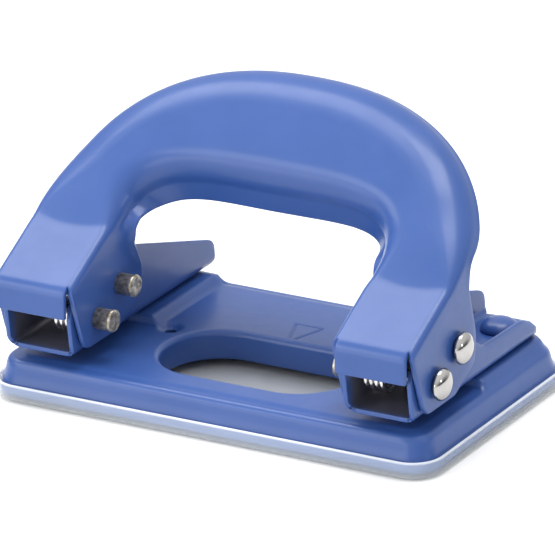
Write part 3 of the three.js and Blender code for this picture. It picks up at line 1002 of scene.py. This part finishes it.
def stations():
    """Pairs of face points (outer, inner) from the nose to the crown."""
    leg = [NOSE_TANGENT + (LEG_START - NOSE_TANGENT) * i / LEG_ROWS for i in range(LEG_ROWS)]
    pairs = [((LEG_X + LEG_HALF, q), (LEG_X - LEG_HALF, q)) for q in leg]
    outer = resample(edge_curve(LEG_X + LEG_HALF, OUTER), ARCH_ROWS)
    inner = resample(edge_curve(LEG_X - LEG_HALF, INNER), ARCH_ROWS)
    return pairs + list(zip(outer, inner))


def handle_row(outer, inner):
    """One row of skin points across the channel: its walls' ends, its two rounds and its face.

    Walls and rounds are held by side, -1 for the window's and 1 for the outside.
    """
    middle = ((outer[0] + inner[0]) / 2, (outer[1] + inner[1]) / 2)
    across = ((outer[0] - inner[0]) / 2, (outer[1] - inner[1]) / 2)
    width = math.hypot(*across)
    blend = smooth((middle[1] - LEG_END) / ARCH_BLEND)
    flare = smooth(2 * blend - 1)
    rounding = smooth((middle[1] - ROUND_START) / ROUND_BLEND)
    pull = LEG_PULL * (1 - smooth((middle[1] - NOSE_TANGENT) / 7))

    def place(side, depth, back=0.0):
        w = side / width
        x = middle[0] + across[0] * w
        q = middle[1] + across[1] * w - back
        y, z, slope = on_face(q, min(abs(w), 1))
        return (x, y - depth * math.sin(slope), z + depth * math.cos(slope))

    rounds = {}
    walls = {}
    spans = {}
    for sign, side, edge in ((-1, INNER, inner), (1, OUTER, outer)):
        radius = mix(LEG_ROUND, side["round"], rounding)
        drop = mix(LEG_ROUND, side["drop"], rounding)
        waist = side["relief"] * math.exp(-(((edge[1] - side["waist"]) / WAIST_REACH) ** 2))
        depth = mix(side["leg"], side["arch"], blend) - waist
        drop = min(drop, depth - LEAST_WALL)
        low = place(sign * (width + side["lean"] * flare), -depth)
        curve = []
        for k in range(ROUND_STEPS + 1):
            t = k / ROUND_STEPS
            a = t * math.pi / 2
            out = width - radius * (1 - math.cos(a))
            curve.append(place(sign * out, -drop * (1 - math.sin(a)), pull * (1 - t)))
        rounds[sign] = curve
        walls[sign] = (curve[0], low)
        spans[sign] = sign * (width - radius)
    face = [place(mix(spans[-1], spans[1], k / FACE_STEPS), 0) for k in range(1, FACE_STEPS)]
    return walls, rounds, face


def handle_skin():
    """The skin from nose to nose, and the row of points at the right nose."""
    pairs = stations()
    rows = [handle_row(outer, inner) for outer, inner in pairs]
    split = {
        1: next(k for k, (outer, _) in enumerate(pairs) if outer[1] > OUTER["top"]),
        -1: next(k for k, (_, inner) in enumerate(pairs) if inner[1] > INNER["top"]),
    }
    ends = {sign: rows[split[sign]][0][sign][1] for sign in (-1, 1)}
    paths = {sign: resample(flange_path(ends[sign][1:]), PATH_STEPS) for sign in (-1, 1)}
    right = []
    for index, (walls, rounds, face) in enumerate(rows):
        sides = {}
        for sign in (-1, 1):
            top, low = walls[sign]
            if index < split[sign]:
                t = index / split[sign]
                x = mix(rows[0][0][sign][0][0], ends[sign][0], smooth(t) ** 3)
                low = (x, *paths[sign][round(PATH_STEPS * t)])
            wall = [tuple(mix(a, b, k / WALL_STEPS) for a, b in zip(low, top)) for k in range(WALL_STEPS)]
            sides[sign] = wall + rounds[sign]
        right.append(sides[-1] + face + sides[1][::-1])
    left = [[(-x, y, z) for x, y, z in row] for row in right[:-1]][::-1]
    rows = right + left
    skin = new_mesh("skin", [p for row in rows for p in row], grid_faces(len(rows), len(rows[0])))
    return skin, right[0]


def lip(first_row):
    """The face's middle columns carried over the nose and down."""
    offset = WALL_STEPS + ROUND_STEPS
    columns = first_row[offset : len(first_row) - offset]
    step = NOSE_TURN / NOSE_STEPS
    y, z = 0.0, 0.0
    path = [(y, z)]
    for k in range(1, NOSE_STEPS + 1):
        a = math.pi + LEG_ANGLE + step * (k - 0.5)
        y += NOSE_BEND * step * math.cos(a)
        z += NOSE_BEND * step * math.sin(a)
        path.append((y, z))
    drop = columns[0][2] + z - LIP_FOOT
    for k in range(1, LIP_STEPS + 1):
        t = k / LIP_STEPS
        path.append((y - LIP_LEAN * drop * t, z - drop * t))
    points = [(px, py + dy, pz + dz) for dy, dz in path for px, py, pz in columns]
    return new_mesh("lip", points, grid_faces(len(path), len(columns)))


def handle(paint):
    skin, first = handle_skin()
    right_lip = lip(first)
    left_lip = mirrored(right_lip, "lip_left")
    shell = join("painted_handle", [skin, right_lip, left_lip])
    crown = max(shell.data.polygons, key=lambda f: f.center.z)
    if crown.normal.z < 0:
        flip_faces(shell)
    thicken(shell, HANDLE_SHEET, edge=0.25)
    finish_piece(shell, paint, "handle", "blue_paint", "handle")


# ------------------------------------------------------------------ pins, cutters, springs
WIRE_RADIUS = 0.55
COIL_RADIUS = 3.3
COIL_TURNS = 4
COIL_LENGTH = 1.25 * COIL_TURNS
LOWER_ARM = 4.3
UPPER_ARM = 12.0
ARM_LEAN = 3.4


def pins(metal, rough):
    for kind, body in (("pivot", "base"), ("drive", "handle")):
        low, high = corner_mm(f"{kind}_pin_right")
        _, y, z = middle_mm(f"{kind}_pin_right")
        head = (high[2] - low[2]) / 2
        outside = LEG_X + LEG_HALF
        inner = LEG_X - LEG_HALF
        tail = 2.35
        end = low[0]
        rim = high[0] - 2.2
        turns = [k * math.pi / 36 for k in range(1, 18)]
        cap = [(head * math.cos(a), rim + 0.3 + 1.9 * math.sin(a)) for a in turns]
        profile = [(0, end + 0.05), (tail - 1.2, end + 0.08), (tail - 0.8, end + 0.02), (tail - 0.35, end)]
        profile += [(tail - 0.1, end + 0.1), (tail + 0.05, end + 0.35), (tail + 0.05, end + 0.6)]
        profile += [(tail - 0.1, end + 0.85), (tail - 0.1, inner - 0.05), (1.7, inner), (1.7, outside)]
        profile += [(2.5, outside + 0.02), (2.5, rim - 0.15), (2.7, rim), (head - 0.2, rim)]
        profile += [(head - 0.05, rim + 0.08), (head, rim + 0.3), *cap, (0, high[0])]
        obj = revolve(f"{kind}_pin_turned_right", profile, 64)
        obj.data.transform(Matrix.Rotation(math.pi / 2, 4, "Y"))
        obj.data.transform(Matrix.Translation((0, y * MM, z * MM)))
        left = mirrored(obj, f"{kind}_pin_turned_left")
        for piece, side in ((obj, "right"), (left, "left")):
            finish_piece(piece, metal, body, "pin_chrome", f"{kind}_pin_{side}")
            piece.data.materials.append(rough)
            for face in piece.data.polygons:
                face.material_index = 1 if abs(face.center.x) < (inner - 0.02) * MM else 0


def block(name, centre, size):
    """A plain box, for cutting with."""
    mesh = bpy.data.meshes.new(name)
    work = bmesh.new()
    bmesh.ops.create_cube(work, size=1)
    work.to_mesh(mesh)
    work.free()
    stretch = Matrix.Diagonal((*(v * MM for v in size), 1))
    mesh.transform(Matrix.Translation([v * MM for v in centre]) @ stretch)
    obj = bpy.data.objects.new(name, mesh)
    bpy.context.scene.collection.objects.link(obj)
    return obj


def cutters(steel):
    for side in ("left", "right"):
        low, high = corner_mm(f"cutter_{side}")
        x, y, _ = middle_mm(f"cutter_{side}")
        foot, top = low[2], high[2]
        profile = [(0, foot + 8), (2.2, foot + 8), (2.2, foot + 0.5), (2.65, foot), (2.9, foot + 0.3)]
        profile += [(2.9, 18.2), (4.2, 18.9), (4.5, 19.3)]
        profile += [(4.5, top - 0.7), (4.3, top - 0.2), (3.8, top), (0, top)]
        obj = revolve(f"punch_cutter_{side}", profile, 64)
        obj.data.transform(Matrix.Translation((x * MM, y * MM, 0)))
        slot = block("slot", (x, SLOT_Y, DRIVE[2]), (14, 5.1, 4.0))
        cut = obj.modifiers.new("slot", "BOOLEAN")
        cut.object = slot
        cut.operation = "DIFFERENCE"
        cut.solver = "EXACT"
        apply_modifiers(obj)
        bpy.data.objects.remove(slot)
        set_sharp(obj, 40)
        finish_piece(obj, steel, f"cutter_{side}", "cutter_steel", f"cutter_{side}")


def spring_path(x0):
    """The wire's middle line: the lower arm, the coil round the pivot pin and the upper arm."""
    _, y, z = PIVOT
    steps = 40 * COIL_TURNS
    path = [(x0, y + COIL_RADIUS, z - LOWER_ARM * (1 - k / 8)) for k in range(8)]
    for k in range(steps + 1):
        t = k / steps
        a = 2 * math.pi * COIL_TURNS * t
        path.append((x0 + COIL_LENGTH * t, y + COIL_RADIUS * math.cos(a), z + COIL_RADIUS * math.sin(a)))
    for k in range(1, 17):
        t = k / 16
        path.append((x0 + COIL_LENGTH, y + COIL_RADIUS - ARM_LEAN * t, z + UPPER_ARM * t))
    return path


def springs(wire):
    """A coil round the pivot pin. It is not tied to the handle, so it does not twist with it.

    One arm goes down to the web and one up to the handle. The upper arm leans forward, to stay clear of
    the cutter's head when the handle is pressed.
    """
    x0 = corner_mm("return_spring_right")[0][0] + WIRE_RADIUS
    path = spring_path(x0)
    sides = 14
    points = []
    for i, p in enumerate(path):
        here = Vector(p)
        ahead = Vector(path[min(i + 1, len(path) - 1)]) - Vector(path[max(i - 1, 0)])
        ahead.normalize()
        aside = ahead.cross(Vector((1, 0, 0))).normalized()
        over = ahead.cross(aside).normalized()
        for j in range(sides):
            a = 2 * math.pi * j / sides
            points.append(tuple(here + (aside * math.cos(a) + over * math.sin(a)) * WIRE_RADIUS))
    faces = grid_faces(len(path), sides, closed=True)
    last = (len(path) - 1) * sides
    faces.append(tuple(range(sides))[::-1])
    faces.append(tuple(range(last, last + sides)))
    obj = new_mesh("torsion_spring_right", points, faces)
    tidy_mesh(obj)
    left = mirrored(obj, "torsion_spring_left")
    for piece, side, sign in ((obj, "right", 1), (left, "left", -1)):
        piece.data.materials.append(wire)
        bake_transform(piece)
        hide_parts(f"return_spring_{side}")


# ------------------------------------------------------------------ chip tray
def chip_tray(plastic):
    """A shallow tray: outside up to its rim and inside down to its floor, as rows of (inset, height)."""
    rim = [(0.0, TRAY_TOP - 0.3), (0.1, TRAY_TOP - 0.08), (0.3, TRAY_TOP), (0.55, TRAY_TOP - 0.08)]
    rows = [(1.6, 0.0), (0.8, 0.12), (0.3, 0.45), (0.08, 0.9), (0.02, 1.6), (0.0, 2.6), *rim]
    rows += [(0.66, TRAY_TOP - 0.3), (0.7, 2.4), (0.78, 1.8), (1.1, 1.25), (1.8, 1.0)]

    def outline(inset):
        return rounded_outline(inset, TRAY_RADIUS - inset, step=2.4, corner_steps=14)

    points = [(x, y, z) for inset, z in rows for x, y in outline(inset)]
    count = len(points) // len(rows)
    wall = new_mesh("wall", points, grid_faces(len(rows), count, closed=True))
    grid = [(4 * i, 4 * j) for i in range(-12, 13) for j in range(-7, 8)]
    caps = []
    for inset, height in (rows[0], rows[-1]):
        caps.append(flat_sheet("cap", outline(inset), [], grid, [], lambda x, y, z=height: (x, y, z)))
    tray = join("clear_tray", [wall, *caps])
    finish_piece(tray, plastic, "tray", "tray_plastic", "chip_tray")


# ------------------------------------------------------------------ studio
def area_light(name, place, target, size, power):
    data = bpy.data.lights.new(name, "AREA")
    data.shape = "RECTANGLE"
    data.size = size[0]
    data.size_y = size[1]
    data.energy = power
    obj = bpy.data.objects.new(name, data)
    obj.location = place
    obj.rotation_euler = (Vector(target) - Vector(place)).to_track_quat("-Z", "Y").to_euler()
    bpy.context.scene.collection.objects.link(obj)


def studio():
    """A pale floor, and a sky that is darker low down at the sides, for contrast along the edges."""
    low, far = -0.1, 4000
    corners = [(-far, -far, low), (far, -far, low), (far, far, low), (-far, far, low)]
    floor = new_mesh("floor", corners, [(0, 1, 2, 3)])
    n = Nodes(bpy.data.materials.new("floor_white"))
    n.give("Base Color", (0.82, 0.82, 0.82, 1))
    n.give("Roughness", 0.8)
    n.give("Specular IOR Level", 0.2)
    floor.data.materials.append(n.owner)
    sky = Nodes(bpy.data.worlds.new("studio"), "Generated")
    height = sky.along("Z")
    strength = sky.ramp(height, 0.82, 1.15, 0.0, 0.9)
    aside = sky.ramp(sky.maths("ABSOLUTE", sky.along("X")), 0.0, 0.85, 0.5, 0.9)
    near_floor = sky.ramp(height, 1.0, 0.0, 0.1, 0.45)
    light = sky.maths("SUBTRACT", 1.0, sky.maths("MULTIPLY", aside, near_floor))
    sky.give("Strength", sky.maths("MULTIPLY", strength, light))
    sky.give("Color", (1, 1, 1, 1))
    bpy.context.scene.world = sky.owner
    area_light("overhead left", (-0.50, 0.06, 0.90), (-0.1, 0.0, 0), (0.5, 0.74), 5.5)
    area_light("overhead right", (0.14, 0.12, 0.95), (0.03, 0.03, 0), (0.36, 0.5), 4.6)
    area_light("front", (-0.85, -0.85, 0.62), (0, 0, 0.03), (1.0, 0.42), 5.6)
    area_light("low fill", (-0.5, -1.3, 0.18), (0, 0, 0.04), (1.4, 0.3), 4.2)
    area_light("side", (0.95, -0.09, 0.31), (0, 0, 0.03), (0.16, 0.16), 0.45)


def camera():
    """A long lens from the right front, a little above."""
    yaw, pitch, roll = math.radians(31.08), math.radians(22.0), math.radians(-2.08)
    distance = 1.776
    target = Vector((0.52, 0, 24.85)) * MM
    back = Vector((math.sin(yaw) * math.cos(pitch), -math.cos(yaw) * math.cos(pitch), math.sin(pitch)))
    right = Vector((math.cos(yaw), math.sin(yaw), 0))
    up = back.cross(right)
    x_axis = right * math.cos(roll) + up * math.sin(roll)
    y_axis = back.cross(x_axis)
    data = bpy.data.cameras.new("camera")
    data.sensor_width = 36
    data.lens = 561.7
    data.clip_end = 20
    obj = bpy.data.objects.new("camera", data)
    turn = Matrix((x_axis, y_axis, back)).transposed().to_4x4()
    obj.matrix_world = Matrix.Translation(target + back * distance) @ turn
    bpy.context.scene.collection.objects.link(obj)
    bpy.context.scene.camera = obj


# ------------------------------------------------------------------ the scene
camera()
paint = blue_paint()
base_plate(paint)
bracket(paint, bracket_paint_and_shade())
rivets(paint)
handle(paint)
pins(chrome(), hammered_steel())
cutters(ground_steel())
springs(spring_wire())
chip_tray(milky_plastic())
studio()

bpy.context.scene.view_settings.view_transform = "Standard"
